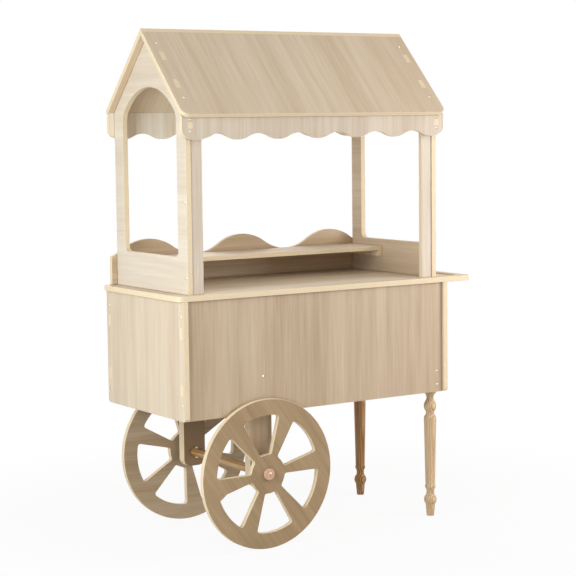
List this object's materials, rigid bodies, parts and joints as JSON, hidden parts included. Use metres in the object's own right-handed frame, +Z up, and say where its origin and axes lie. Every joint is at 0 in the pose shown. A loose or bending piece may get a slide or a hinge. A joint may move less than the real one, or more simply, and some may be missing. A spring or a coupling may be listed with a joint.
{
  "type": "candy cart",
  "caption": "Wooden candy cart with a boxed counter, gabled canopy with scalloped valances, spoked board wheels on an axle and turned legs at the push-handle end.",
  "frame": {"origin": "on the ground, below the middle of the cart's overall box", "axes": "+X along the cart towards the hand slot, -Y to the front, +Z up"},
  "size_m": [1.17, 0.572, 1.6802],
  "materials": {
    "oak_board": "pale oak laminate, satin, with cream cut edges",
    "strut_wood": "plain sawn board, satin",
    "turned_wood": "turned rubberwood, clear satin lacquer",
    "dowel_wood": "round dowel, lacquered",
    "cap_wood": "beech, satin",
    "zinc_steel": "bright zinc plated",
    "bronzed_steel": "bronze plated",
    "nylon": "natural nylon"
  },
  "bodies": {
    "cart": {"left_end_panel": "oak_board", "right_end_panel": "oak_board", "front_panel": "oak_board", "rear_panel": "oak_board", "counter_top": "oak_board", "left_end_frame": "oak_board", "right_end_frame": "oak_board", "front_roof_panel": "oak_board", "rear_roof_panel": "oak_board", "front_valance": "oak_board", "rear_valance": "oak_board", "left_stile": "oak_board", "right_stile": "oak_board", "backboard": "oak_board", "display_shelf": "oak_board", "left_shelf_cleat": "strut_wood", "right_shelf_cleat": "strut_wood", "front_axle_strut": "strut_wood", "rear_axle_strut": "strut_wood", "front_leg": "turned_wood", "rear_leg": "turned_wood", "axle": "dowel_wood", "front_wheel_spacer": "dowel_wood", "rear_wheel_spacer": "dowel_wood", "front_hub_cap": "cap_wood", "rear_hub_cap": "cap_wood", "panel_screws": "zinc_steel", "counter_screws": "zinc_steel", "frame_foot_screws": "zinc_steel", "roof_screws": "zinc_steel", "valance_screws": "zinc_steel", "backboard_screws": "zinc_steel", "shelf_screws": "zinc_steel", "cleat_screws": "zinc_steel", "stile_screws": "zinc_steel", "strut_screws": "zinc_steel", "leg_screws": "zinc_steel", "axle_pins": "zinc_steel", "hub_cap_screws": "bronzed_steel"},
    "front_wheel_set": {"front_wheel": "oak_board", "front_wheel_bush": "nylon"},
    "rear_wheel_set": {"rear_wheel": "oak_board", "rear_wheel_bush": "nylon"}
  },
  "joints": [
    {"name": "front_wheel_spin", "type": "hinge", "parent": "cart", "child": "front_wheel_set", "pos_m": [-0.273, -0.264, 0.245], "axis": [0, 1, 0], "continuous": true},
    {"name": "rear_wheel_spin", "type": "hinge", "parent": "cart", "child": "rear_wheel_set", "pos_m": [-0.273, 0.264, 0.245], "axis": [0, 1, 0], "continuous": true}
  ]
}
